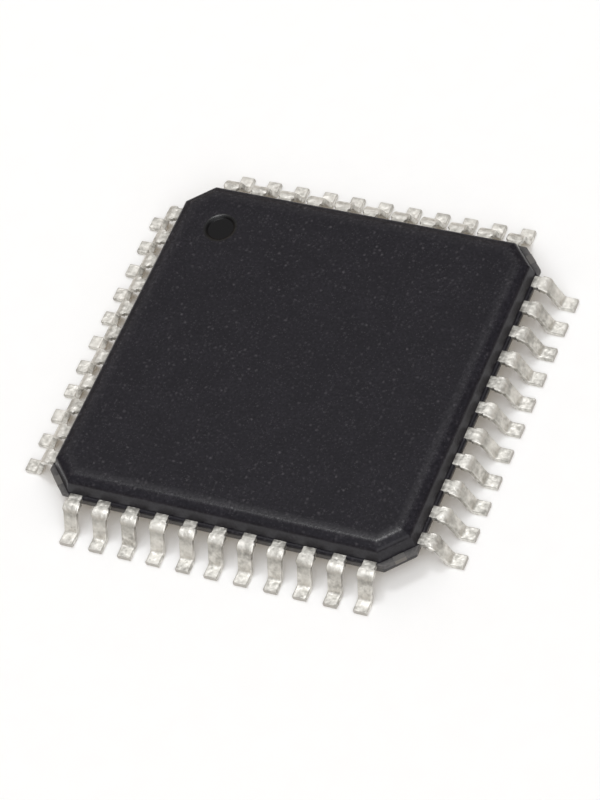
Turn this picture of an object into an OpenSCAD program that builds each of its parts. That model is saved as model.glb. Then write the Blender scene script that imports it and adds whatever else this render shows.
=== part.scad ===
// Microcontroller chip in a thin quad flat pack: a moulded resin body on a stamped lead frame,
// with eleven gull-wing leads on each side, and the silicon die and its wires sealed inside.
// Millimetres. The origin is the middle of the seating plane that the lead feet stand on.

/* [Moulded body] */
// Width and depth of the body at its parting band
body_size = 10; // [9.6:0.1:12]
// Thickness of the body from underside to top
body_thickness = 1.05; // [0.95:0.01:1.4]
// Gap between the seating plane and the body's underside
standoff = 0.15; // [0.05:0.01:0.2]
// Depth of the lower mould half, from the underside to the lead frame
lower_depth = 0.49; // [0.4:0.01:0.55]
// How far the two mould halves stand back from the parting band
mould_step = 0.07; // [0.02:0.01:0.12]
// Draft angle of the lower mould half's side walls, in degrees
mould_draft = 12; // [5:1:18]
// Draft angle of the upper mould half's side walls, in degrees
upper_draft = 18; // [8:1:24]
// Leg of the corner chamfers at the parting band
corner_cut = 0.6; // [0.5:0.01:0.7]
// Leg of the mould halves' corner chamfers, where they meet the parting band
mould_corner_cut = 0.68; // [0.62:0.01:0.9]
// Width of the shallow bevel around the top
top_bevel_run = 0.25; // [0.22:0.01:0.35]
// Slope of the bevel, in degrees from level
top_bevel_slope = 20; // [10:1:30]
// Radius of the ridge between the top and its bevel
top_ridge_radius = 0.42; // [0.1:0.01:0.5]
// Radius of the edge between the bevel and the side walls
top_edge_radius = 0.16; // [0.05:0.01:0.18]
// Radius of the edge around the underside
bottom_edge_radius = 0.1; // [0.05:0.01:0.2]

/* [Pin 1 mark] */
// Diameter of the round mark at its rim
mark_diameter = 0.84; // [0.5:0.01:1.2]
// Diameter of the mark's flat floor
mark_floor_diameter = 0.7; // [0.3:0.01:0.85]
// Depth of the mark
mark_depth = 0.05; // [0.02:0.01:0.08]
// Distance from the body's sides to the middle of the mark
mark_inset = 1.5; // [1.2:0.01:2]

/* [Ejector marks] */
// Diameter of the four round marks on the underside
ejector_diameter = 1; // [0.6:0.1:1.4]
// Depth of the marks on the underside
ejector_depth = 0.03; // [0.01:0.01:0.06]
// Distance from the body's sides to the middle of each mark
ejector_inset = 1.9; // [1.6:0.1:2.4]

/* [Leads] */
// Distance from lead to lead, in rows of as many leads as a side holds
lead_pitch = 0.8; // [0.65:0.05:1]
// Least gap between an outer lead and the corner chamfer beside it
corner_clear = 0.15; // [0.1:0.01:0.4]
// Width of a lead outside the body
lead_width = 0.37; // [0.3:0.01:0.45]
// Thickness of the stamped lead frame
frame_thickness = 0.13; // [0.09:0.01:0.2]
// Distance between the toes of opposite leads
lead_span = 12; // [11:0.1:14]
// Reach past the body that the lengths and bends below are drawn for, and that they shrink and grow with
drawn_reach = 1; // [0.5:0.1:2]
// Length of a foot, from its heel corner to its toe
foot_run = 0.38; // [0.35:0.01:0.5]
// Lean of a leg from the upright, in degrees
leg_lean = 25; // [15:1:30]
// Radius of the shoulder bend, in the middle of the strip
shoulder_radius = 0.18; // [0.15:0.01:0.22]
// Radius of the heel bend, in the middle of the strip
heel_radius = 0.15; // [0.12:0.01:0.2]
// How far the cut ends of the dam bar stand out of a lead's sides
dambar_stub = 0.04; // [0.01:0.005:0.05]
// Length of the dam bar's cut ends along the lead, over its shoulder
dambar_width = 0.2; // [0.08:0.01:0.25]
// Gap between the parting band and the dam bar's cut ends
dambar_gap = 0.13; // [0.04:0.01:0.2]

/* [Lead fingers inside the body] */
// Straight run of a lead inside the parting band, before it turns to the die
finger_straight = 0.28; // [0.2:0.01:0.4]
// Distance from fingertip to fingertip
tip_pitch = 0.45; // [0.38:0.01:0.46]
// Width of a fingertip
tip_width = 0.2; // [0.14:0.01:0.24]
// Gap between the die pad's edge and the fingertips
tip_gap = 0.4; // [0.35:0.01:0.5]

/* [Die pad] */
// Width and depth of the pad that carries the die
pad_size = 4.8; // [4.6:0.1:5]
// How far the pad is set down below the leads
pad_downset = 0.2; // [0.15:0.01:0.25]
// Width of the four tie bars that hold the pad at its corners
tie_width = 0.3; // [0.2:0.01:0.32]
// Level run of a tie bar past the pad's corner, before it ramps up
tie_run = 0.12; // [0.1:0.01:0.3]
// Angle of the ramp, in degrees
tie_ramp = 40; // [30:1:60]

/* [Die] */
// Width and depth of the silicon die
die_size = 2.6; // [2.4:0.1:3]
// Thickness of the die
die_thickness = 0.25; // [0.15:0.01:0.28]
// Thickness of the cured die attach
attach_thickness = 0.025; // [0.015:0.005:0.04]
// How far the die attach spreads past the die's sides
attach_margin = 0.08; // [0.02:0.01:0.15]

/* [Bond wires] */
// Diameter of a bond wire
wire_diameter = 0.03; // [0.025:0.001:0.035]
// Diameter of the ball that bonds a wire to the die
ball_diameter = 0.07; // [0.05:0.005:0.09]
// Height of the ball
ball_height = 0.02; // [0.015:0.001:0.03]
// Rise of a wire's loop above its ball
loop_height = 0.15; // [0.1:0.01:0.17]
// Part of a wire's span over which its loop comes down to the fingertip
loop_landing = 0.6; // [0.5:0.05:0.7]
// Distance from ball to ball along the die's edge
bond_pitch = 0.2; // [0.15:0.01:0.22]
// Distance from the die's edge to the balls
bond_inset = 0.12; // [0.08:0.01:0.2]
// Distance from the end of a fingertip to the start of the stitch
stitch_setback = 0.12; // [0.08:0.01:0.2]
// Length of the stitch that lies flat on the fingertip
stitch_length = 0.1; // [0.06:0.01:0.14]

/* [Hidden] */
// Facets across each rounded edge or bend
round_steps = 6;
// Facets around a bond wire, and rings along its loop
wire_sides = 6;
loop_rings = 7;
// Extra length of a cutting shape past the surface it cuts
cut_past = 0.1;

body_half = body_size / 2;
body_top = standoff + body_thickness;
frame_bottom = standoff + lower_depth;
frame_top = frame_bottom + frame_thickness;
mould_half = body_half - mould_step;
// Distance from the middle to the mould halves' corner chamfers, along the diagonal
mould_corner_reach = (2 * mould_half - mould_corner_cut) / sqrt(2);
// Distance from the middle to the parting band's corner chamfers, along the diagonal
corner_reach = (2 * body_half - corner_cut) / sqrt(2);

row_room = body_size - 2 * (corner_cut + corner_clear) - lead_width;
leads_per_side = floor(row_room / lead_pitch) + 1;

toe = lead_span / 2;
reach_fit = (toe - body_half) / drawn_reach;
heel = toe - foot_run * reach_fit;
shoulder = heel - frame_bottom * tan(leg_lean) * reach_fit;
leg_angle = atan((heel - shoulder) / frame_bottom);
bend_turn = 90 - leg_angle;
// The insides of the bends follow the reach, so that a bend stays wider than the strip is thick
function bend_radius(drawn) = frame_thickness / 2 + (drawn - frame_thickness / 2) * reach_fit;

pad_top = frame_top - pad_downset;
pad_bottom = pad_top - frame_thickness;
die_bottom = pad_top + attach_thickness;
die_top = die_bottom + die_thickness;
finger_knee = body_half - finger_straight;
fingertip = pad_size / 2 + tip_gap;
bond_line = die_size / 2 - bond_inset;
stitch_line = fingertip + stitch_setback;
// Height of a wire's middle above the face that its stitch lies on
wire_rest = wire_diameter / 2 * sin(180 - 360 / wire_sides);

lead_total = 4 * leads_per_side;

function lead_name(number) = str("lead_", number < 10 ? "0" : "", number);

// Leads are numbered from the pin 1 mark, anticlockwise seen from above. Shapes that belong to a
// lead are drawn on the front side, with their place along the side as x, and turned to their side.
function side_turn(number) = 90 * (floor((number - 1) / leads_per_side) - 1);
function along_side(number, pitch) = ((number - 1) % leads_per_side - (leads_per_side - 1) / 2) * pitch;

function arc(centre, radius, from, to) = [
    for (step = [0:round_steps])
        let (angle = from + (to - from) * step / round_steps)
        centre + radius * [cos(angle), sin(angle)]
];
function reversed(list) = [for (k = [len(list) - 1:-1:0]) list[k]];

// Half of the body's section, from the middle of the underside to the middle of the top, for a pair of
// walls whose distance from the middle is reach at the parting band.
function half_section(reach) =
    let (
        under_turn = 90 - mould_draft,
        under_wall = reach - lower_depth * tan(mould_draft),
        under_centre = [under_wall - bottom_edge_radius * tan(under_turn / 2), standoff + bottom_edge_radius],
        bevel_foot = body_top - top_bevel_run * tan(top_bevel_slope),
        over_wall = reach - (bevel_foot - frame_top) * tan(upper_draft),
        edge_turn = 90 - upper_draft - top_bevel_slope,
        edge_back = top_edge_radius * tan(edge_turn / 2),
        edge_centre = [over_wall, bevel_foot]
            + edge_back * [sin(upper_draft), -cos(upper_draft)]
            - top_edge_radius * [cos(upper_draft), sin(upper_draft)],
        ridge_centre = [over_wall - top_bevel_run - top_ridge_radius * tan(top_bevel_slope / 2),
            body_top - top_ridge_radius]
    )
    concat(
        arc(under_centre, bottom_edge_radius, -90, -mould_draft),
        [[reach, frame_bottom], [reach, frame_top]],
        arc(edge_centre, top_edge_radius, upper_draft, 90 - top_bevel_slope),
        arc(ridge_centre, top_ridge_radius, 90 - top_bevel_slope, 90)
    );

// A length of the body's section, long enough to pass both ends of the body.
module section_bar(reach) {
    right = half_section(reach);
    left = [for (point = reversed(right)) [-point.x, point.y]];
    rotate([90, 0, 0])
        linear_extrude(2 * body_size, center = true)
            polygon(concat(right, left));
}

// The two mould halves: the walls of all four sides and all four corner chamfers.
module mould_halves() {
    intersection() {
        section_bar(mould_half);
        rotate(90) section_bar(mould_half);
        rotate(45) section_bar(mould_corner_reach);
        rotate(-45) section_bar(mould_corner_reach);
    }
}

// The thin band of resin between the leads, as thick as the lead frame.
module parting_band() {
    cut = body_half - corner_cut;
    corner = [[body_half, cut], [cut, body_half]];
    outline = [for (turn = [0:90:270], point = corner)
        [point.x * cos(turn) - point.y * sin(turn), point.x * sin(turn) + point.y * cos(turn)]];
    translate([0, 0, frame_bottom])
        linear_extrude(frame_thickness) polygon(outline);
}

// The round pin 1 mark, sunk into the top at the corner between the first and the last lead.
module pin_1_mark() {
    mark_place = body_half - mark_inset;
    wall_slope = (mark_diameter - mark_floor_diameter) / mark_depth;
    translate([-mark_place, mark_place, body_top - mark_depth])
        cylinder(h = mark_depth + cut_past, d1 = mark_floor_diameter,
            d2 = mark_diameter + wall_slope * cut_past, $fn = 48);
}

// The four shallow marks that the mould's ejector pins leave on the underside.
module ejector_marks() {
    place = body_half - ejector_inset;
    for (x = [-place, place], y = [-place, place])
        translate([x, y, standoff - cut_past])
            cylinder(h = ejector_depth + cut_past, d = ejector_diameter, $fn = 48);
}

// The resin fills all the room that the lead frame, the die and the wires leave.
module moulded_body() {
    color("#2f2d32")
        difference() {
            union() {
                mould_halves();
                parting_band();
            }
            pin_1_mark();
            ejector_marks();
            die_pad();
            die_attach();
            die();
            bond_wires();
            for (number = [1:lead_total]) lead(number);
        }
}

// Side view of a lead outside the body: level shoulder, leaning leg and level foot.
function lead_profile() =
    let (
        half = frame_thickness / 2,
        level = frame_bottom + half,
        upper = bend_radius(shoulder_radius),
        lower = bend_radius(heel_radius),
        shoulder_centre = [shoulder - upper * tan(bend_turn / 2), level - upper],
        heel_centre = [heel + lower * tan(bend_turn / 2), half + lower]
    )
    concat(
        [[finger_knee, frame_top]],
        arc(shoulder_centre, upper + half, 90, leg_angle),
        arc(heel_centre, lower - half, 180 + leg_angle, 270),
        [[toe, frame_thickness], [toe, 0]],
        arc(heel_centre, lower + half, 270, 180 + leg_angle),
        arc(shoulder_centre, upper - half, leg_angle, 90),
        [[finger_knee, frame_bottom]]
    );

// Plan of the finger that fans in from a lead to the die pad.
function finger_outline(place, tip_place) = [
    [place - lead_width / 2, -body_half],
    [place + lead_width / 2, -body_half],
    [place + lead_width / 2, -finger_knee],
    [tip_place + tip_width / 2, -fingertip],
    [tip_place - tip_width / 2, -fingertip],
    [place - lead_width / 2, -finger_knee]
];

// One lead: the gull-wing strip outside, the dam bar's cut ends, and the finger inside.
module lead(number) {
    place = along_side(number, lead_pitch);
    tip_place = along_side(number, tip_pitch);
    dambar_across = lead_width + 2 * dambar_stub;
    dambar_along = dambar_width * reach_fit;
    dambar_end = body_half + dambar_gap * reach_fit + dambar_along;
    color("#cfcbc1")
        rotate(side_turn(number)) {
            translate([place, 0, 0])
                rotate([90, 0, -90])
                    linear_extrude(lead_width, center = true) polygon(lead_profile());
            intersection() {
                translate([place, 0, 0])
                    rotate([90, 0, -90])
                        linear_extrude(dambar_across, center = true) polygon(lead_profile());
                translate([place - dambar_across, -dambar_end, 0])
                    cube([2 * dambar_across, dambar_along, frame_top + cut_past]);
            }
            translate([0, 0, frame_bottom])
                linear_extrude(frame_thickness) polygon(finger_outline(place, tip_place));
        }
}

// Side view of a tie bar: level with the pad, ramped up, then level with the leads to the corner.
function tie_profile() =
    let (
        half = frame_thickness / 2,
        start = pad_size / 2,
        ramp_start = pad_size / sqrt(2) + tie_run,
        ramp_end = ramp_start + pad_downset / tan(tie_ramp),
        // Sideways shift that keeps the ramp as thick as the level runs
        shift = half * tan(tie_ramp / 2)
    )
    [
        [start, pad_bottom],
        [ramp_start + shift, pad_bottom],
        [ramp_end + shift, frame_bottom],
        [corner_reach, frame_bottom],
        [corner_reach, frame_top],
        [ramp_end - shift, frame_top],
        [ramp_start - shift, pad_top],
        [start, pad_top]
    ];

// The set-down pad under the die, with the tie bars that hold it until the resin does.
module die_pad() {
    color("#b9805a") {
        translate([-pad_size / 2, -pad_size / 2, pad_bottom])
            cube([pad_size, pad_size, frame_thickness]);
        for (turn = [45:90:315])
            rotate(turn)
                rotate([90, 0, 0])
                    linear_extrude(tie_width, center = true) polygon(tie_profile());
    }
}

// The thin bed of silver-filled epoxy that fixes the die to its pad.
module die_attach() {
    spread = die_size + 2 * attach_margin;
    color("#a9a9ad")
        translate([-spread / 2, -spread / 2, pad_top])
            cube([spread, spread, attach_thickness]);
}

// The silicon die.
module die() {
    color("#5b6470")
        translate([-die_size / 2, -die_size / 2, die_bottom])
            cube([die_size, die_size, die_thickness]);
}

// Side view of a wire as rings of [distance, height, radius, slope angle]: the ball on the die, the loop,
// and the stitch that lies flat on the fingertip.
function wire_rings(span) =
    let (
        foot = die_top + ball_height,
        radius = wire_diameter / 2,
        end = frame_top + wire_rest,
        // A cubic curve's loop rises four ninths of the way to its second control point
        lift = foot + loop_height * 9 / 4,
        land = loop_landing * span
    )
    concat(
        [[0, die_top, ball_diameter / 2, 90], [0, foot, ball_diameter / 2, 90]],
        [for (ring = [0:loop_rings])
            let (
                t = ring / loop_rings,
                u = 1 - t,
                along = 3 * u * t * t * land + t * t * t * span,
                height = u * u * u * foot + 3 * u * u * t * lift + (3 * u * t * t + t * t * t) * end,
                run = 6 * u * t * land + 3 * t * t * (span - land),
                rise = 3 * u * u * (lift - foot) + 6 * u * t * (end - lift)
            )
            [along, height, radius, atan2(rise, run)]],
        [[span + stitch_length, end, radius, 0]]
    );

// A wire from its ball to its stitch, as a tube of rings.
module bond_wire(from, to) {
    span = norm(to - from);
    ahead = (to - from) / span;
    rings = wire_rings(span);
    points = [for (ring = rings, side = [0:wire_sides - 1])
        let (
            angle = 360 * side / wire_sides,
            across = ring[2] * cos(angle),
            over = ring[2] * sin(angle),
            along = ring[0] - over * sin(ring[3])
        )
        [
            from.x + ahead.x * along - ahead.y * across,
            from.y + ahead.y * along + ahead.x * across,
            ring[1] + over * cos(ring[3])
        ]];
    last = (len(rings) - 1) * wire_sides;
    walls = [for (ring = [0:len(rings) - 2], side = [0:wire_sides - 1])
        let (next = (side + 1) % wire_sides, base = ring * wire_sides)
        [base + side, base + wire_sides + side, base + wire_sides + next, base + next]];
    start_cap = [for (side = [0:wire_sides - 1]) side];
    end_cap = [for (side = [wire_sides - 1:-1:0]) last + side];
    polyhedron(points, concat([start_cap, end_cap], walls));
}

// One wire from the die to each lead's fingertip.
module bond_wires() {
    color("#d8b45a")
        for (number = [1:lead_total]) {
            place = along_side(number, lead_pitch);
            tip_place = along_side(number, tip_pitch);
            share = stitch_setback / (finger_knee - fingertip);
            from = [along_side(number, bond_pitch), -bond_line];
            to = [tip_place + (place - tip_place) * share, -stitch_line];
            rotate(side_turn(number)) bond_wire(from, to);
        }
}

moulded_body();
die_pad();
die_attach();
die();
bond_wires();
for (number = [1:lead_total])
    lead(number);
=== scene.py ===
import math
import random

import bmesh
import bpy
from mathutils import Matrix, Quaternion, Vector


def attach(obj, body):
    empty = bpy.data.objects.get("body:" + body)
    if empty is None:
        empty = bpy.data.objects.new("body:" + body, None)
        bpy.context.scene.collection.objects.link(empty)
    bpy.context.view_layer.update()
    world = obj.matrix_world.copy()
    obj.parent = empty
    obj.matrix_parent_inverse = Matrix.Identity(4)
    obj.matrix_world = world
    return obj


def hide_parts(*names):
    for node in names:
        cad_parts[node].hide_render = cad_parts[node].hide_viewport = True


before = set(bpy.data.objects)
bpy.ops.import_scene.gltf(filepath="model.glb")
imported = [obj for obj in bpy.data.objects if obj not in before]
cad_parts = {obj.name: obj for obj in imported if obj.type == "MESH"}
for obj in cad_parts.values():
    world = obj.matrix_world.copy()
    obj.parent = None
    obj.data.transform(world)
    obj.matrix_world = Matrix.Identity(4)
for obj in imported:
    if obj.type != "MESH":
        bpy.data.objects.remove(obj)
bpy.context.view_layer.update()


# The die pad is a copper paddle, stamped from the same strip as the leads and set down under the die.
# Four tie bars hold it at its corners. The resin hides it all, but for the bars' ends at the body's
# corners, where the punch that frees the chip from its strip sheared them off.
mm = 0.001
corner_reach = 6.647 * mm
cut_end_depth = 0.004 * mm
tinned_from = 6.42 * mm
copper_bright = (0.74, 0.40, 0.26, 1)
copper_dull = (0.50, 0.25, 0.16, 1)
tie_bar_tin = (0.13, 0.125, 0.12, 1)
sheared_copper = (0.20, 0.185, 0.17, 1)
rolled_patch = 0.35 * mm
rolled_grain = 0.03 * mm
copper_roughness = (0.32, 0.50)
copper_grain_depth = 0.004 * mm


def new_material(name):
    material = bpy.data.materials.new(name)
    material.use_nodes = True
    return material, material.node_tree, material.node_tree.nodes["Principled BSDF"]


def add_node(tree, kind, inputs=None, **settings):
    node = tree.nodes.new(kind)
    for key, value in settings.items():
        setattr(node, key, value)
    for key, value in (inputs or {}).items():
        if isinstance(value, bpy.types.NodeSocket):
            tree.links.new(value, node.inputs[key])
        else:
            node.inputs[key].default_value = value
    return node


def maths(tree, operation, first, second=0.0):
    return add_node(tree, "ShaderNodeMath", {0: first, 1: second}, operation=operation).outputs[0]


def between(tree, share, low, high):
    return add_node(tree, "ShaderNodeMapRange", {"Value": share, "To Min": low, "To Max": high}).outputs[0]


def mixed_colour(tree, share, low, high):
    mix = add_node(tree, "ShaderNodeMix", {"Factor": share}, data_type="RGBA")
    for socket, colour in ((mix.inputs[6], low), (mix.inputs[7], high)):
        if isinstance(colour, bpy.types.NodeSocket):
            tree.links.new(colour, socket)
        else:
            socket.default_value = colour
    return mix.outputs[2]


def new_group(name, numbers, masks):
    group = bpy.data.node_groups.new(name, "ShaderNodeTree")
    for socket, value in numbers.items():
        made = group.interface.new_socket(socket, in_out="INPUT", socket_type="NodeSocketFloat")
        made.default_value = value
    for socket in masks:
        group.interface.new_socket(socket, in_out="OUTPUT", socket_type="NodeSocketFloat")
    inside = group.nodes.new("NodeGroupInput").outputs
    outside = group.nodes.new("NodeGroupOutput").inputs
    return group, inside, outside


def use_group(tree, group, **numbers):
    return add_node(tree, "ShaderNodeGroup", numbers, node_tree=group).outputs


# Soft uneven patches, as rolling, plating and moulding leave them. Size is in metres.
mottle, given, result = new_group("mottle", {"Size": 0.1 * mm, "Detail": 3.0}, ["Patches", "Grain"])
place = add_node(mottle, "ShaderNodeTexCoord").outputs["Object"]
per_metre = maths(mottle, "DIVIDE", 1.0, given["Size"])
patch_noise = add_node(
    mottle, "ShaderNodeTexNoise", {"Vector": place, "Scale": per_metre, "Detail": given["Detail"]}
)
patches = add_node(
    mottle, "ShaderNodeMapRange", {"Value": patch_noise.outputs["Fac"], "From Min": 0.3, "From Max": 0.7}
)
mottle.links.new(patches.outputs[0], result["Patches"])
mottle.links.new(patch_noise.outputs["Fac"], result["Grain"])

# How far a point lies from the chip's middle towards the nearest corner, in metres.
corner_distance, given, result = new_group("corner distance", {}, ["Reach"])
where = add_node(
    corner_distance,
    "ShaderNodeSeparateXYZ",
    {0: add_node(corner_distance, "ShaderNodeTexCoord").outputs["Object"]},
)
along_x = maths(corner_distance, "ABSOLUTE", where.outputs["X"])
along_y = maths(corner_distance, "ABSOLUTE", where.outputs["Y"])
both_ways = maths(corner_distance, "ADD", along_x, along_y)
corner_distance.links.new(maths(corner_distance, "DIVIDE", both_ways, math.sqrt(2)), result["Reach"])

copper_finish, tree, shader = new_material("rolled copper")
rolled = use_group(tree, mottle, Size=rolled_patch, Detail=4.0)
grain = use_group(tree, mottle, Size=rolled_grain, Detail=2.0)
out_to_corner = use_group(tree, corner_distance)["Reach"]
tinned = maths(tree, "GREATER_THAN", out_to_corner, tinned_from)
cut_end = maths(tree, "GREATER_THAN", out_to_corner, corner_reach - cut_end_depth)
copper_colour = mixed_colour(tree, rolled["Patches"], copper_bright, copper_dull)
outer_colour = mixed_colour(tree, cut_end, tie_bar_tin, sheared_copper)
tree.links.new(mixed_colour(tree, tinned, copper_colour, outer_colour), shader.inputs["Base Color"])
tree.links.new(between(tree, grain["Patches"], *copper_roughness), shader.inputs["Roughness"])
shader.inputs["Metallic"].default_value = 1.0
copper_bump = add_node(
    tree, "ShaderNodeBump", {"Height": grain["Grain"], "Strength": 0.4, "Distance": copper_grain_depth}
)
tree.links.new(copper_bump.outputs[0], shader.inputs["Normal"])


def finish_node(node, material):
    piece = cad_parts[node]
    piece.data.materials.clear()
    piece.data.materials.append(material)


finish_node("die_pad", copper_finish)


# The die attach is a thin bed of epoxy full of silver flakes. It is dotted on the pad, spread by the
# die that is pressed into it, and cured.
silver_paste = (0.55, 0.55, 0.56, 1)
silver_flake = (0.86, 0.86, 0.88, 1)
flake_size = 0.03 * mm
paste_roughness = (0.6, 0.3)
paste_metal = (0.2, 0.9)

# Small bright grains, one in some of the cells that share out the surface. Size is a cell's, in metres,
# Share is the part of the cells that hold a grain, and Spread is how far a grain fills its cell.
specks, given, result = new_group(
    "specks", {"Size": 0.05 * mm, "Share": 0.3, "Spread": 0.4}, ["Grains", "Tone"]
)
place = add_node(specks, "ShaderNodeTexCoord").outputs["Object"]
per_metre = maths(specks, "DIVIDE", 1.0, given["Size"])
cells = add_node(specks, "ShaderNodeTexVoronoi", {"Vector": place, "Scale": per_metre})
cell_tones = add_node(specks, "ShaderNodeSeparateColor", {0: cells.outputs["Color"]})
held = maths(specks, "LESS_THAN", cell_tones.outputs["Red"], given["Share"])
grain_shape = add_node(
    specks,
    "ShaderNodeMapRange",
    {"Value": cells.outputs["Distance"], "From Min": given["Spread"], "From Max": 0.0},
    interpolation_type="SMOOTHSTEP",
)
grains = maths(specks, "MULTIPLY", held, grain_shape.outputs[0])
specks.links.new(grains, result["Grains"])
specks.links.new(maths(specks, "MULTIPLY", grains, cell_tones.outputs["Green"]), result["Tone"])

paste_finish, tree, shader = new_material("silver filled epoxy")
flakes = use_group(tree, specks, Size=flake_size, Share=0.7, Spread=0.6)
tree.links.new(mixed_colour(tree, flakes["Tone"], silver_paste, silver_flake), shader.inputs["Base Color"])
tree.links.new(between(tree, flakes["Grains"], *paste_roughness), shader.inputs["Roughness"])
tree.links.new(between(tree, flakes["Grains"], *paste_metal), shader.inputs["Metallic"])
finish_node("die_attach", paste_finish)


# The die is a square of silicon, sawn from a wafer. Its top carries the circuit under a thin glassy
# coat, and its sides show the saw's fine grain.
silicon_dark = (0.10, 0.11, 0.13, 1)
silicon_sheen = (0.24, 0.22, 0.26, 1)
saw_grain_size = 0.02 * mm
layer_size = 0.4 * mm
silicon_roughness = (0.12, 0.22)
silicon_metal = 0.6
glassy_coat = 0.5

silicon_finish, tree, shader = new_material("sawn silicon")
saw_grain = use_group(tree, mottle, Size=saw_grain_size, Detail=2.0)
layers = use_group(tree, mottle, Size=layer_size, Detail=1.0)
silicon_colour = mixed_colour(tree, layers["Patches"], silicon_dark, silicon_sheen)
tree.links.new(silicon_colour, shader.inputs["Base Color"])
tree.links.new(between(tree, saw_grain["Patches"], *silicon_roughness), shader.inputs["Roughness"])
shader.inputs["Metallic"].default_value = silicon_metal
shader.inputs["Coat Weight"].default_value = glassy_coat
finish_node("die", silicon_finish)


# The bond wires are drawn gold, each balled on the die by a spark and stitched to a fingertip by a
# hot pressed tool.
gold_bright = (0.95, 0.66, 0.27, 1)
gold_drawn = (0.80, 0.52, 0.20, 1)
drawn_grain = 0.02 * mm
gold_roughness = (0.18, 0.32)

gold_finish, tree, shader = new_material("drawn gold")
drawn = use_group(tree, mottle, Size=drawn_grain, Detail=2.0)
tree.links.new(mixed_colour(tree, drawn["Patches"], gold_bright, gold_drawn), shader.inputs["Base Color"])
tree.links.new(between(tree, drawn["Patches"], *gold_roughness), shader.inputs["Roughness"])
shader.inputs["Metallic"].default_value = 1.0
finish_node("bond_wires", gold_finish)


# The body is black epoxy, filled with ground silica and moulded round the lead frame under pressure.
# Its mould was spark-eroded, which leaves a fine matt grain, with a polished round pin 1 mark on top
# and four ejector pin marks underneath. A thin band of resin fills the gaps between the leads.
body_half = 5 * mm
band_corner_cut = 0.6 * mm
mould_half = 4.93 * mm
mould_corner_cut = 0.68 * mm
mould_draft = math.radians(12)
upper_draft = math.radians(18)
top_bevel_run = 0.25 * mm
top_bevel_slope = math.radians(20)
top_ridge_radius = 0.42 * mm
top_edge_radius = 0.16 * mm
top_crown_run = 0.2 * mm
top_crown_slope = math.radians(5)
bottom_radius = 0.1 * mm
upright_edge_radius = 0.06 * mm
body_bottom = 0.15 * mm
body_top = 1.2 * mm
frame_bottom = 0.64 * mm
frame_top = 0.77 * mm
band_shrink = 0.006 * mm
band_edge = 0.02 * mm
band_rounding = 0.3
mark_centre = Vector((-3.5 * mm, 3.5 * mm))
mark_depth = 0.05 * mm
mark_lip = 0.02 * mm
ejector_place = 3.1 * mm
ejector_radius = 0.5 * mm
ejector_depth = 0.03 * mm
corner_steps = 4
bottom_steps = 6
edge_steps = 10
sharp_turn = math.cos(math.radians(60))
resin_black = (0.0032, 0.0026, 0.0055, 1)
resin_grey = (0.0205, 0.0185, 0.0250, 1)
polished_black = (0.0022, 0.0021, 0.0026, 1)
silica_grey = (0.074, 0.069, 0.077, 1)
torn_grey = (0.125, 0.120, 0.117, 1)
cloud_size = 0.7 * mm
mould_grain = 0.075 * mm
silica_size = 0.11 * mm
fine_silica_size = 0.05 * mm
cloud_tones = (0.32, 0.72)
fine_silica_tone = 0.48
torn_tones = (0.6, 1.0)
matt_roughness = (0.40, 0.52)
wall_roughness = 0.27
wall_smoothness = 0.75
ridge_roughness = (0.29, 0.21)
resin_shine = 0.18
wall_skin = 0.5
ridge_skin = (0.16, 0.46)
skin_roughness = 0.26
mould_grain_depth = 0.006 * mm
torn_from = 6.49 * mm


def body_outline(half, corner_cut, radius):
    """Points round an eight-sided outline with softened corners, anticlockwise."""
    inner = half - corner_cut
    corners = []
    for turn in range(4):
        for x, y in ((half, -inner), (half, inner)):
            for _ in range(turn):
                x, y = -y, x
            corners.append(Vector((x, y)))
    points = []
    for index, corner in enumerate(corners):
        before = (corner - corners[index - 1]).normalized()
        after = (corners[(index + 1) % 8] - corner).normalized()
        tangent = radius * math.tan(math.radians(22.5))
        centre = corner - before * tangent + Vector((-before.y, before.x)) * radius
        start = math.atan2(-before.x, before.y)
        for step in range(corner_steps + 1):
            angle = start + math.radians(45) * step / corner_steps
            points.append(centre + Vector((math.cos(angle), math.sin(angle))) * radius)
    return points


def mould_outline(inset):
    """Outline of a mould half that stands back this far from its place at the parting band."""
    reach = (2 * mould_half - mould_corner_cut) / math.sqrt(2) - inset
    half = mould_half - inset
    return body_outline(half, 2 * half - reach * math.sqrt(2), upright_edge_radius)


def add_ring(mesh, outline, height, **finish):
    """A ring of vertices. Skin is 1 on the smooth walls, ridge on the worn edge of the top, polish in the
    marks and torn on the trimmed band."""
    ring = [mesh.verts.new((point.x, point.y, height)) for point in outline]
    for name, amount in finish.items():
        for vertex in ring:
            vertex[mesh.verts.layers.float[name]] = amount
    return ring


def join_rings(mesh, lower, upper):
    faces = []
    for index in range(len(lower)):
        after = (index + 1) % len(lower)
        faces.append(mesh.faces.new((lower[index], lower[after], upper[after], upper[index])))
    return faces


def circle(centre, radius, steps=64):
    turns = [2 * math.pi * step / steps for step in range(steps)]
    return [centre + Vector((math.cos(turn), math.sin(turn))) * radius for turn in turns]


def sunk_mark(mesh, centre, profile, face_height, sink):
    """A round mark, as rings from its rim to its floor. Returns the rim."""
    rings = []
    for radius, depth in profile:
        height = face_height + sink * depth
        lip = 1.0 if 0 < depth < mark_lip else 0.0
        rings.append(add_ring(mesh, circle(centre, radius), height, polish=1.0 if depth else 0.0, ridge=lip))
    for outer, inner in zip(rings, rings[1:]):
        join_rings(mesh, outer, inner)
    mesh.faces.new(rings[-1])
    return rings[0]


def fill_between(mesh, loops):
    """A flat face inside the first loop of vertices, with the others left open in it."""
    edges = []
    for loop in loops:
        for index, vertex in enumerate(loop):
            edges.append(mesh.edges.get((vertex, loop[index - 1])))
    bmesh.ops.triangle_fill(mesh, use_beauty=True, edges=edges)


body_mesh = bmesh.new()
for name in ("skin", "ridge", "polish", "torn"):
    body_mesh.verts.layers.float.new(name)

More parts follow.
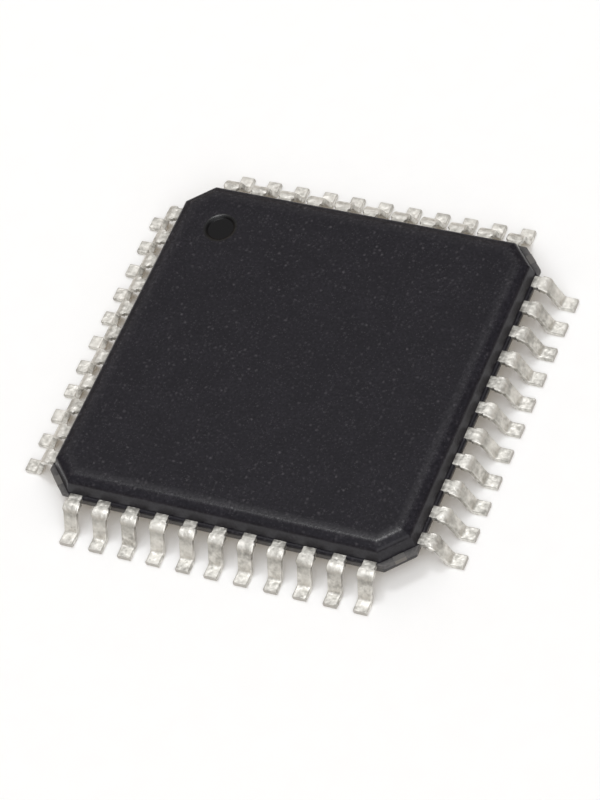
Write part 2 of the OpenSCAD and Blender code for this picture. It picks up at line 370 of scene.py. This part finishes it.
# From the flat underside, round its edge and up the lower wall, to the parting band.
wall_turn = math.pi / 2 - mould_draft
lower_wall = (frame_bottom - body_bottom) * math.tan(mould_draft)
lower_centre = lower_wall + bottom_radius * math.tan(wall_turn / 2)
rings = []
for step in range(bottom_steps + 1):
    angle = -math.pi / 2 + wall_turn * step / bottom_steps
    inset = lower_centre - bottom_radius * math.cos(angle)
    height = body_bottom + bottom_radius * (1 + math.sin(angle))
    rings.append(add_ring(body_mesh, mould_outline(inset), height, skin=step / bottom_steps))
rings.append(add_ring(body_mesh, mould_outline(0), frame_bottom + band_shrink, skin=1.0))

# Out and in again over the band, whose edges are slightly rounded.
band_steps = (
    (band_edge, frame_bottom + band_shrink),
    (band_rounding * band_edge, frame_bottom + band_shrink + band_rounding * band_edge),
    (0, frame_bottom + band_shrink + band_edge),
    (0, frame_top - band_shrink - band_edge),
    (band_rounding * band_edge, frame_top - band_shrink - band_rounding * band_edge),
    (band_edge, frame_top - band_shrink),
)
for inset, height in band_steps:
    reach = (2 * body_half - band_corner_cut) / math.sqrt(2) - inset - band_shrink
    half = body_half - inset
    outline = body_outline(half, 2 * half - reach * math.sqrt(2), upright_edge_radius)
    rings.append(add_ring(body_mesh, outline, height, torn=1.0))
rings.append(add_ring(body_mesh, mould_outline(0), frame_top - band_shrink, skin=1.0, torn=0.4))

# Up the upper wall, round its edge, over the bevel and round the ridge to the flat top.
bevel_foot = body_top - top_bevel_run * math.tan(top_bevel_slope)
upper_wall = (bevel_foot - frame_top) * math.tan(upper_draft)
edge_turn = math.pi / 2 - upper_draft - top_bevel_slope
edge_back = top_edge_radius * math.tan(edge_turn / 2)
edge_centre = upper_wall - edge_back * math.sin(upper_draft) + top_edge_radius * math.cos(upper_draft)
edge_level = bevel_foot - edge_back * math.cos(upper_draft) - top_edge_radius * math.sin(upper_draft)
for step in range(edge_steps + 1):
    angle = upper_draft + edge_turn * step / edge_steps
    inset = edge_centre - top_edge_radius * math.cos(angle)
    height = edge_level + top_edge_radius * math.sin(angle)
    rings.append(add_ring(body_mesh, mould_outline(inset), height, skin=1 - step / edge_steps))
crown_drop = top_crown_run * math.tan(top_crown_slope) / 2
ridge_top = body_top - crown_drop - top_ridge_radius * math.cos(top_crown_slope)
ridge_drop = body_top - ridge_top - top_ridge_radius * math.cos(top_bevel_slope)
ridge_end = upper_wall + top_bevel_run - ridge_drop / math.tan(top_bevel_slope)
ridge_centre = ridge_end + top_ridge_radius * math.sin(top_bevel_slope)
ridge_shine = (0.3, 0.6, 0.9, 1.0, 1.0, 1.0, 1.0, 1.0, 1.0)
for step, shine in enumerate(ridge_shine):
    slope = top_bevel_slope + (top_crown_slope - top_bevel_slope) * step / (len(ridge_shine) - 1)
    inset = ridge_centre - top_ridge_radius * math.sin(slope)
    height = ridge_top + top_ridge_radius * math.cos(slope)
    rings.append(add_ring(body_mesh, mould_outline(inset), height, ridge=shine))
crown_start = ridge_centre - top_ridge_radius * math.sin(top_crown_slope)
crown_shine = (0.85, 0.65, 0.45, 0.2, 0.0)
for step, shine in enumerate(crown_shine):
    share = (step + 1) / len(crown_shine)
    inset = crown_start + top_crown_run * share
    height = body_top - crown_drop * (1 - share) ** 2
    rings.append(add_ring(body_mesh, mould_outline(inset), height, ridge=shine))
for lower, upper in zip(rings, rings[1:]):
    join_rings(body_mesh, lower, upper)

# The pin 1 mark's soft rim rolls over into a shallow cone, and the cone into a flat floor.
mark_profile = (
    (0.460 * mm, 0), (0.445 * mm, 0.0012 * mm), (0.430 * mm, 0.0035 * mm), (0.415 * mm, 0.007 * mm),
    (0.400 * mm, 0.012 * mm), (0.385 * mm, 0.0185 * mm), (0.370 * mm, 0.027 * mm), (0.357 * mm, 0.036 * mm),
    (0.345 * mm, 0.044 * mm), (0.335 * mm, 0.048 * mm), (0.322 * mm, mark_depth), (0.180 * mm, mark_depth),
)
mark_rim = sunk_mark(body_mesh, mark_centre, mark_profile, body_top, -1)
ejector_profile = (
    (ejector_radius + 0.006 * mm, 0), (ejector_radius, 0.004 * mm),
    (ejector_radius - 0.006 * mm, ejector_depth - 0.004 * mm), (ejector_radius - 0.012 * mm, ejector_depth),
    (0.25 * mm, ejector_depth),
)
ejector_rims = []
for x, y in ((1, 1), (-1, 1), (-1, -1), (1, -1)):
    centre = Vector((x, y)) * ejector_place
    ejector_rims.append(sunk_mark(body_mesh, centre, ejector_profile, body_bottom, 1))
fill_between(body_mesh, [rings[-1], mark_rim])
fill_between(body_mesh, [rings[0]] + ejector_rims)
bmesh.ops.recalc_face_normals(body_mesh, faces=body_mesh.faces)


def new_piece(name, mesh, material, node):
    """Makes a finished piece of a mesh, in the place of its CAD node. In the shading of a corner each face
    counts by its size, and only where it makes no sharp turn: flats stay flat and steps sharp."""
    data = bpy.data.meshes.new(name)
    mesh.normal_update()
    leans = {face: face.normal * (face.calc_area() / mm ** 2) for face in mesh.faces}
    normals = []
    for face in mesh.faces:
        for vertex in face.verts:
            near = [
                leans[other] for other in vertex.link_faces if face.normal.dot(other.normal) > sharp_turn
            ]
            normals.append(sum(near, Vector()).normalized())
    mesh.to_mesh(data)
    mesh.free()
    data.shade_smooth()
    data.normals_split_custom_set(normals)
    data.materials.append(material)
    piece = bpy.data.objects.new(name, data)
    bpy.context.scene.collection.objects.link(piece)
    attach(piece, "root")
    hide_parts(node)


resin_finish, tree, shader = new_material("moulded resin")
skin = add_node(tree, "ShaderNodeAttribute", attribute_name="skin").outputs["Fac"]
polish = add_node(tree, "ShaderNodeAttribute", attribute_name="polish").outputs["Fac"]
ridge = add_node(tree, "ShaderNodeAttribute", attribute_name="ridge").outputs["Fac"]
torn = add_node(tree, "ShaderNodeAttribute", attribute_name="torn").outputs["Fac"]
at_corner = maths(tree, "GREATER_THAN", use_group(tree, corner_distance)["Reach"], torn_from)
smooth = maths(tree, "MAXIMUM", maths(tree, "MULTIPLY", skin, wall_smoothness), polish)
matt = maths(tree, "SUBTRACT", 1.0, smooth)
clouds = use_group(tree, mottle, Size=cloud_size, Detail=4.0)
grain = use_group(tree, mottle, Size=mould_grain, Detail=3.0)
silica = use_group(tree, specks, Size=silica_size, Share=0.30, Spread=0.60)
fine_silica = use_group(tree, specks, Size=fine_silica_size, Share=0.50, Spread=0.55)
resin_tone = maths(tree, "MULTIPLY", between(tree, clouds["Patches"], *cloud_tones), grain["Patches"])
resin_colour = mixed_colour(tree, resin_tone, resin_black, resin_grey)
fine_grains = maths(tree, "MULTIPLY", fine_silica["Tone"], fine_silica_tone)
coarse_grains = maths(tree, "MULTIPLY", silica["Tone"], grain["Patches"])
silica_grains = maths(tree, "MULTIPLY", maths(tree, "MAXIMUM", coarse_grains, fine_grains), matt)
filled_colour = mixed_colour(tree, silica_grains, resin_colour, silica_grey)
torn_corner = maths(tree, "MULTIPLY", torn, at_corner)
broken = maths(tree, "MULTIPLY", torn_corner, between(tree, grain["Patches"], *torn_tones))
trimmed_colour = mixed_colour(tree, broken, filled_colour, torn_grey)
tree.links.new(mixed_colour(tree, polish, trimmed_colour, polished_black), shader.inputs["Base Color"])
matt_face = between(tree, grain["Patches"], *matt_roughness)
smoothed = add_node(
    tree, "ShaderNodeMix", {"Factor": smooth, "A": matt_face, "B": wall_roughness}, data_type="FLOAT"
).outputs[0]
worn_ridge = between(tree, grain["Patches"], *ridge_roughness)
rubbed = add_node(
    tree, "ShaderNodeMix", {"Factor": ridge, "A": smoothed, "B": worn_ridge}, data_type="FLOAT"
).outputs[0]
tree.links.new(rubbed, shader.inputs["Roughness"])
shader.inputs["Specular IOR Level"].default_value = resin_shine
shader.inputs["Coat Roughness"].default_value = skin_roughness
rubbed_skin = maths(tree, "MULTIPLY", ridge, between(tree, grain["Patches"], *ridge_skin))
moulded_skin = maths(tree, "MULTIPLY", skin, wall_skin)
tree.links.new(maths(tree, "MAXIMUM", moulded_skin, rubbed_skin), shader.inputs["Coat Weight"])
grain_height = maths(tree, "MULTIPLY", maths(tree, "ADD", grain["Grain"], silica["Grains"]), matt)
resin_bump = add_node(
    tree, "ShaderNodeBump", {"Height": grain_height, "Strength": 0.5, "Distance": mould_grain_depth}
)
tree.links.new(resin_bump.outputs[0], shader.inputs["Normal"])
new_piece("moulded_body_skin", body_mesh, resin_finish, "moulded_body")


# The leads are strips of thin copper, left joined by a dam bar until the resin has set. The bar is
# punched out, which leaves a stub on each side of a lead, then the leads are tinned, cut to length and
# bent down to stand on the board. The cut end of the toe shows copper that the shear smeared with tin.
leads_per_side = 11
lead_pitch = 0.8 * mm
lead_width = 0.37 * mm
strip_thickness = 0.13 * mm
strip_edge = 0.032 * mm
buried_root = 0.03 * mm
toe = 6 * mm
foot_run = 0.38 * mm
leg_lean = math.radians(25)
shoulder_radius = 0.18 * mm
heel_radius = 0.15 * mm
dambar_stub = 0.04 * mm
dambar_start = 5.13 * mm
dambar_slope = 0.025 * mm
clamp_line = 5.07 * mm
clamp_dent = 0.003 * mm
clamp_edge = 0.015 * mm
leg_middle = 0.45
foot_middle = 0.16 * mm
toe_edge = 0.01 * mm
toe_trim = 0.012 * mm
lead_lean = 0.014
lead_drift = 0.003 * mm
# Where the painted shade on each lead's root ends.
root_shade_end = 5.03 * mm
finger_knee = 4.72 * mm
fingertip = 2.8 * mm
tip_pitch = 0.45 * mm
tip_width = 0.2 * mm
tip_edge = 0.01 * mm
tip_trim = 0.006 * mm
tin_bright = (0.89, 0.873, 0.825, 1)
tin_grey = (0.46, 0.45, 0.415, 1)
# Duller tin, where tools rubbed it and as painted shade beside the body and on the upper leg.
worn_shaded_tin = (0.58, 0.57, 0.53, 1)
worn_shaded_grey = (0.32, 0.31, 0.285, 1)
toe_copper = (0.51, 0.49, 0.455, 1)
# Painted shade: a dark film on each lead's root, where the body shades it.
painted_root_shade = (0.10, 0.093, 0.085, 1)
bare_copper = (0.70, 0.38, 0.25, 1)
smudge_size = 0.7 * mm
blotch_size = 0.13 * mm
crystal_size = 0.04 * mm
pit_size = 0.10 * mm
smudge_tones = (0.35, 1.1)
pit_tone = 0.9
root_shade_cover = (0.3, 1.0)
tin_roughness = (0.42, 0.62)
crystal_height = 0.25
tin_relief = 0.025 * mm


def lead_stations(bend_steps=10):
    """Places along a lead outside the resin, as distance out, height, slope angle, width and a share of
    duller tin. That share is tool wear at the clamp line, the dam bar stubs and the shoulder, darker at the
    toe's end, and painted shade beside the body and on the upper leg.
    """
    half = strip_thickness / 2
    turn = math.pi / 2 - leg_lean
    heel = toe - foot_run
    shoulder = heel - frame_bottom * math.tan(leg_lean)
    level = frame_bottom + half
    over = Vector((shoulder - shoulder_radius * math.tan(turn / 2), level - shoulder_radius))
    under = Vector((heel + heel_radius * math.tan(turn / 2), half + heel_radius))
    stub_width = lead_width + 2 * dambar_stub
    # The first stations paint shade on the root beside the body. The clamp line and dam bar stubs show tool
    # wear.
    stations = [
        (mould_half - buried_root, level, 0, lead_width, 1),
        (body_half, level, 0, lead_width, 0.9),
        (clamp_line - clamp_edge, level, 0, lead_width, 0.7),
        (clamp_line, level - clamp_dent, 0, lead_width, 1),
        (dambar_start, level, 0, lead_width, 0.5),
        (dambar_start + dambar_slope, level, 0, stub_width, 0.35),
    ]
    for step in range(bend_steps + 1):
        share = step / bend_steps
        slope = turn * share
        point = over + shoulder_radius * Vector((math.sin(slope), math.cos(slope)))
        narrowing = min(1, max(0, 3 * share - 2))
        width = stub_width + (lead_width - stub_width) * narrowing
        # Duller at the bend's start, and painted shade growing down over the upper leg.
        wear_and_shade = min(1, max(0, 0.3 - share, 2.5 * share - 1.5))
        stations.append((point.x, point.y, slope, width, wear_and_shade))
    leg_top = Vector(stations[-1][:2])
    leg_foot = under - heel_radius * Vector((math.sin(turn), math.cos(turn)))
    middle = leg_top.lerp(leg_foot, leg_middle)
    stations.append((middle.x, middle.y, turn, lead_width, 0.2))
    for step in range(bend_steps + 1):
        slope = turn * (1 - step / bend_steps)
        point = under - heel_radius * Vector((math.sin(slope), math.cos(slope)))
        stations.append((point.x, point.y, slope, lead_width, 0))
    stations.append((toe - foot_middle, half, 0, lead_width, 0))
    stations.append((toe - toe_edge, half, 0, lead_width, 0.6))
    return stations


def strip_ring(mesh, centre, across, over, width, thickness, edge, wear_and_shade=0.0, root_shade=0.0):
    """A ring of vertices round a strip's section, with rounded edges. Of its two shares, the first is duller
    tin, partly where the tools rubbed it and partly painted shade beside the body and on the upper leg. The
    second is a dark film of painted shade on the lead's root, beside the body."""
    points = []
    for quarter, (side, rise) in enumerate(((1, 1), (-1, 1), (-1, -1), (1, -1))):
        for step in range(4):
            angle = math.radians(90 * quarter + 30 * step)
            sideways = side * (width / 2 - edge) + edge * math.cos(angle)
            upward = rise * (thickness / 2 - edge) + edge * math.sin(angle)
            point = mesh.verts.new(centre + across * sideways + over * upward)
            point[mesh.verts.layers.float["wear_and_shade"]] = wear_and_shade
            point[mesh.verts.layers.float["root_shade"]] = root_shade
            points.append(point)
    return points


def lead_mesh(row_turn, place, tip_place, wobble):
    """One lead from its fingertip to its toe. The row is drawn at the front, then turned to its side."""
    mesh = bmesh.new()
    for name in ("wear_and_shade", "root_shade"):
        mesh.verts.layers.float.new(name)
    plated_layer = mesh.faces.layers.float.new("plated")
    cut_layer = mesh.faces.layers.float.new("cut_end")
    across = Vector((1, 0, 0))
    level = frame_bottom + strip_thickness / 2
    upright = Vector((0, 0, 1))
    rings = []
    for trim, out in ((tip_trim, fingertip), (0, fingertip + tip_edge)):
        centre = Vector((tip_place, -out, level))
        width = tip_width - trim
        rings.append(strip_ring(mesh, centre, across, upright, width, strip_thickness - trim, strip_edge))
    knee = Vector((place, -finger_knee, level))
    rings.append(strip_ring(mesh, knee, across, upright, lead_width, strip_thickness, strip_edge))
    inner_rings = len(rings)
    lean = wobble.uniform(-lead_lean, lead_lean)
    for out, height, slope, width, wear_and_shade in lead_stations():
        drift = lean * max(0, out - body_half)
        if slope:
            drift += wobble.uniform(-1, 1) * lead_drift
        centre = Vector((place + drift, -out, height))
        over = Vector((0, -math.sin(slope), math.cos(slope)))
        # Painted shade on the root, fading out from the body.
        root_shade = min(1, max(0, (root_shade_end - out) / (root_shade_end - mould_half)))
        rings.append(strip_ring(mesh, centre, across, over, width, strip_thickness, strip_edge, wear_and_shade, root_shade))
    toe_centre = Vector((place + lean * (toe - body_half), -toe, strip_thickness / 2))
    width = lead_width - toe_trim
    thickness = strip_thickness - toe_trim
    rings.append(strip_ring(mesh, toe_centre, across, upright, width, thickness, strip_edge))
    for index, (near, far) in enumerate(zip(rings, rings[1:])):
        for face in join_rings(mesh, near, far):
            face[plated_layer] = 0.0 if index < inner_rings else 1.0
    mesh.faces.new(rings[0])
    toe_face = mesh.faces.new(rings[-1])
    toe_face[plated_layer] = 1.0
    toe_face[cut_layer] = 1.0
    bmesh.ops.recalc_face_normals(mesh, faces=mesh.faces)
    quarter_turn = Quaternion((0, 0, 1), row_turn)
    for vertex in mesh.verts:
        vertex.co = quarter_turn @ vertex.co
    return mesh


tin_finish, tree, shader = new_material("tinned lead")
plated = add_node(tree, "ShaderNodeAttribute", attribute_name="plated").outputs["Fac"]
wear_and_shade = add_node(tree, "ShaderNodeAttribute", attribute_name="wear_and_shade").outputs["Fac"]
root_shade = add_node(tree, "ShaderNodeAttribute", attribute_name="root_shade").outputs["Fac"]
cut_end = add_node(tree, "ShaderNodeAttribute", attribute_name="cut_end").outputs["Fac"]
smudges = use_group(tree, mottle, Size=smudge_size, Detail=1.0)
blotches = use_group(tree, mottle, Size=blotch_size, Detail=3.0)
crystals = use_group(tree, mottle, Size=crystal_size, Detail=2.0)
pits = use_group(tree, specks, Size=pit_size, Share=0.22, Spread=0.45)
smudged = between(tree, smudges["Patches"], *smudge_tones)
blotch_tone = maths(tree, "MULTIPLY", blotches["Patches"], smudged)
tin_tone = maths(tree, "MAXIMUM", blotch_tone, maths(tree, "MULTIPLY", pits["Tone"], pit_tone))
tin_colour = mixed_colour(tree, tin_tone, tin_bright, tin_grey)
worn_shaded_colour = mixed_colour(tree, tin_tone, worn_shaded_tin, worn_shaded_grey)
# Duller tin where tools rubbed it, and painted shade beside the body and on the upper leg.
tin_with_wear_and_shade = mixed_colour(tree, wear_and_shade, tin_colour, worn_shaded_colour)
# A dark film of painted shade over the root beside the body.
root_shade_share = maths(tree, "MULTIPLY", root_shade, between(tree, blotches["Patches"], *root_shade_cover))
root_shaded_colour = mixed_colour(tree, root_shade_share, tin_with_wear_and_shade, painted_root_shade)
outer_colour = mixed_colour(tree, cut_end, root_shaded_colour, toe_copper)
tree.links.new(mixed_colour(tree, plated, bare_copper, outer_colour), shader.inputs["Base Color"])
tree.links.new(between(tree, blotches["Patches"], *tin_roughness), shader.inputs["Roughness"])
shader.inputs["Metallic"].default_value = 1.0
crystal_grain = maths(tree, "MULTIPLY", crystals["Grain"], crystal_height)
tin_height = maths(tree, "ADD", blotches["Grain"], crystal_grain)
tin_bump = add_node(tree, "ShaderNodeBump", {"Height": tin_height, "Strength": 0.8, "Distance": tin_relief})
tree.links.new(tin_bump.outputs[0], shader.inputs["Normal"])

wobble = random.Random(44)
for number in range(1, 4 * leads_per_side + 1):
    side, index = divmod(number - 1, leads_per_side)
    from_middle = index - (leads_per_side - 1) / 2
    row_turn = math.radians(90 * (side - 1))
    mesh = lead_mesh(row_turn, from_middle * lead_pitch, from_middle * tip_pitch, wobble)
    node = f"lead_{number:02d}"
    new_piece(f"{node}_tinned", mesh, tin_finish, node)


# The floor is a sheet of white paper on a table. It keeps the chip's soft shadow, which a warm painted glow,
# seen by the camera and in reflections, turns brownish. The paper's own white leans blue, so that the open
# floor stays white. Seen from below it lets the eye and its light through, so that the underside can be
# looked at.
paper_white = (0.945, 0.968, 0.995, 1)
paper_shade = (0.935, 0.958, 0.985, 1)
shadow_warming_glow = (1.0, 0.78, 0.51, 1)
paper_glow = 0.115
paper_roughness = 0.9
paper_shine = 0.1
fibre_size = 0.8 * mm
floor_half = 0.6
floor_corners = ((-1, -1), (1, -1), (1, 1), (-1, 1))
floor_drop = 0.004 * mm

floor_mesh = bmesh.new()
floor_mesh.faces.new([floor_mesh.verts.new((x * floor_half, y * floor_half, 0)) for x, y in floor_corners])
floor_data = bpy.data.meshes.new("paper_floor")
floor_mesh.to_mesh(floor_data)
floor_mesh.free()
floor = bpy.data.objects.new("paper_floor", floor_data)
floor.location.z = -floor_drop
bpy.context.scene.collection.objects.link(floor)
paper_finish, tree, shader = new_material("white paper")
fibres = use_group(tree, mottle, Size=fibre_size, Detail=2.0)
paper_colour = mixed_colour(tree, fibres["Patches"], paper_white, paper_shade)
tree.links.new(paper_colour, shader.inputs["Base Color"])
shader.inputs["Roughness"].default_value = paper_roughness
shader.inputs["Specular IOR Level"].default_value = paper_shine
# A warm glow painted into the paper for camera and reflection rays, which tints its shadow brownish.
glow = add_node(tree, "ShaderNodeEmission", {"Color": shadow_warming_glow, "Strength": 1.0})
rays = add_node(tree, "ShaderNodeLightPath").outputs
seen = maths(tree, "MAXIMUM", rays["Is Camera Ray"], rays["Is Glossy Ray"])
seen = maths(tree, "MAXIMUM", seen, rays["Is Transmission Ray"])
lit = add_node(
    tree,
    "ShaderNodeMixShader",
    {0: maths(tree, "MULTIPLY", seen, paper_glow), 1: shader.outputs[0], 2: glow.outputs[0]},
)
clear = add_node(tree, "ShaderNodeBsdfTransparent")
below = add_node(tree, "ShaderNodeNewGeometry").outputs["Backfacing"]
came_through = maths(tree, "GREATER_THAN", rays["Transparent Depth"], 0.5)
open_sheet = maths(tree, "MAXIMUM", below, came_through)
sheet = add_node(tree, "ShaderNodeMixShader", {0: open_sheet, 1: lit.outputs[0], 2: clear.outputs[0]})
tree.links.new(sheet.outputs[0], tree.nodes["Material Output"].inputs["Surface"])
floor_data.materials.append(paper_finish)


# The light is a warm white room with a large window high up at the back left and a pale wall behind
# the camera. One small lamp hangs nearly overhead, on the window's side.
room_steps = (
    (0.30, (0.85, 0.84, 0.83, 1)),
    (0.42, (0.36, 0.32, 0.28, 1)),
    (0.50, (0.48, 0.415, 0.35, 1)),
    (0.60, (0.38, 0.33, 0.285, 1)),
    (0.72, (0.34, 0.31, 0.28, 1)),
    (0.86, (0.35, 0.335, 0.32, 1)),
    (1.00, (0.40, 0.40, 0.405, 1)),
)
window_side = Vector((-0.40, 0.47, 0.79)).normalized()
window_steps = (
    (0.74, (0, 0, 0, 1)),
    (0.88, (0.225, 0.225, 0.23, 1)),
    (0.95, (0.36, 0.36, 0.365, 1)),
    (1.00, (0.40, 0.40, 0.405, 1)),
)
pale_wall_side = Vector((0.36, -0.46, 0.81)).normalized()
pale_wall_steps = (
    (0.70, (0, 0, 0, 1)),
    (0.84, (0.83, 0.85, 0.87, 1)),
    (0.94, (1.82, 1.85, 1.89, 1)),
    (1.00, (2.08, 2.11, 2.15, 1)),
)
lamp_place = Vector((-0.126, 0.126, 0.6))
lamp_size = 0.13
lamp_power = 0.75

room = bpy.data.worlds.new("white room")
bpy.context.scene.world = room
room.use_nodes = True
tree = room.node_tree


def light_steps(share, steps):
    ramp = add_node(tree, "ShaderNodeValToRGB", {0: share})
    while len(ramp.color_ramp.elements) < len(steps):
        ramp.color_ramp.elements.new(0.5)
    for element, (place, colour) in zip(ramp.color_ramp.elements, steps):
        element.position = place
        element.color = colour
    return ramp.outputs["Color"]


look = add_node(tree, "ShaderNodeTexCoord").outputs["Generated"]
height = add_node(tree, "ShaderNodeSeparateXYZ", {0: look}).outputs["Z"]
rise = add_node(tree, "ShaderNodeMapRange", {"Value": height, "From Min": -1.0, "From Max": 1.0})
light = light_steps(rise.outputs[0], room_steps)
for side, steps in ((window_side, window_steps), (pale_wall_side, pale_wall_steps)):
    facing = add_node(tree, "ShaderNodeVectorMath", {0: look, 1: side}, operation="DOT_PRODUCT")
    added = light_steps(facing.outputs["Value"], steps)
    both = add_node(
        tree, "ShaderNodeMix", {"Factor": 1.0, 6: light, 7: added}, data_type="RGBA", blend_type="ADD"
    )
    light = both.outputs[2]
tree.links.new(light, tree.nodes["Background"].inputs["Color"])
tree.nodes["Background"].inputs["Strength"].default_value = 1.0

lamp_data = bpy.data.lights.new("soft_box", "AREA")
lamp_data.shape = "SQUARE"
lamp_data.size = lamp_size
lamp_data.energy = lamp_power
lamp = bpy.data.objects.new("soft_box", lamp_data)
lamp.location = lamp_place
lamp.rotation_euler = lamp_place.to_track_quat("Z", "Y").to_euler()
bpy.context.scene.collection.objects.link(lamp)
bpy.context.scene.view_settings.view_transform = "Standard"


# The camera stands high at the chip's front right corner and is tilted to one side. Its long lens keeps
# the far leads nearly as large as the near ones.
camera_aim = Vector((0.0976 * mm, -0.3913 * mm, 0))
camera_azimuth = math.radians(37.67)
camera_elevation = math.radians(51.61)
camera_roll = math.radians(-19.33)
camera_distance = 92.11 * mm
camera_lens = 164.53
nearest_view = 1 * mm
farthest_view = 10

towards = Vector((
    math.sin(camera_azimuth) * math.cos(camera_elevation),
    -math.cos(camera_azimuth) * math.cos(camera_elevation),
    math.sin(camera_elevation),
))
camera_data = bpy.data.cameras.new("photo_camera")
camera_data.lens = camera_lens
camera_data.clip_start = nearest_view
camera_data.clip_end = farthest_view
camera = bpy.data.objects.new("photo_camera", camera_data)
camera.location = camera_aim + towards * camera_distance
level_view = towards.to_track_quat("Z", "Y")
camera.rotation_euler = (level_view @ Quaternion((0, 0, 1), camera_roll)).to_euler()
bpy.context.scene.collection.objects.link(camera)
bpy.context.scene.camera = camera
